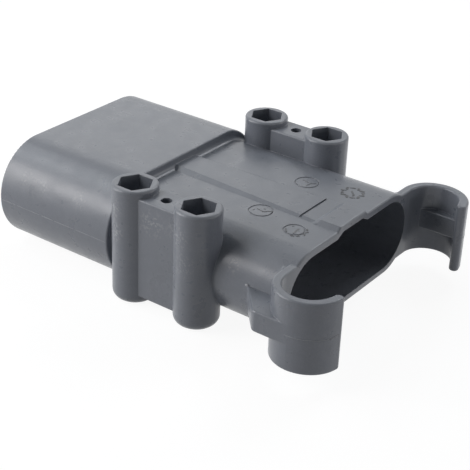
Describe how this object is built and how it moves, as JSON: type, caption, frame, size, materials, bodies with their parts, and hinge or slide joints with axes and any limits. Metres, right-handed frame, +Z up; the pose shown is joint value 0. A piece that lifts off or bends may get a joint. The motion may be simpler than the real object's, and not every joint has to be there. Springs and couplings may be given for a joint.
{
  "type": "forklift battery connector",
  "caption": "Flat battery plug housing with a wide mating shroud, bolt posts on both sides, a cable mouth between two C-shaped clips, and round main pins held inside.",
  "frame": {"origin": "centre of the four mounting bolt holes, on the plane of the post bottoms", "axes": "+X along the connector from the mating face towards the cable mouth, +Z up out of the nut pockets, +Y across to the positive contact"},
  "size_m": [0.1755, 0.1238, 0.0527],
  "materials": {
    "housing_plastic": "fine matt moulding",
    "plated_copper": "silver plated, satin",
    "spring_steel": "oiled spring steel",
    "coding_plastic": "moulded, light grey",
    "carrier_plastic": "moulded, black"
  },
  "bodies": {
    "root": {"housing": "housing_plastic", "main_contact_positive": "plated_copper", "main_contact_negative": "plated_copper", "contact_ring_positive": "spring_steel", "contact_ring_negative": "spring_steel", "coding_pin": "coding_plastic", "coding_pin_washer": "spring_steel", "pilot_carrier": "carrier_plastic", "pilot_contact_left": "plated_copper", "pilot_contact_right": "plated_copper"}
  },
  "joints": []
}
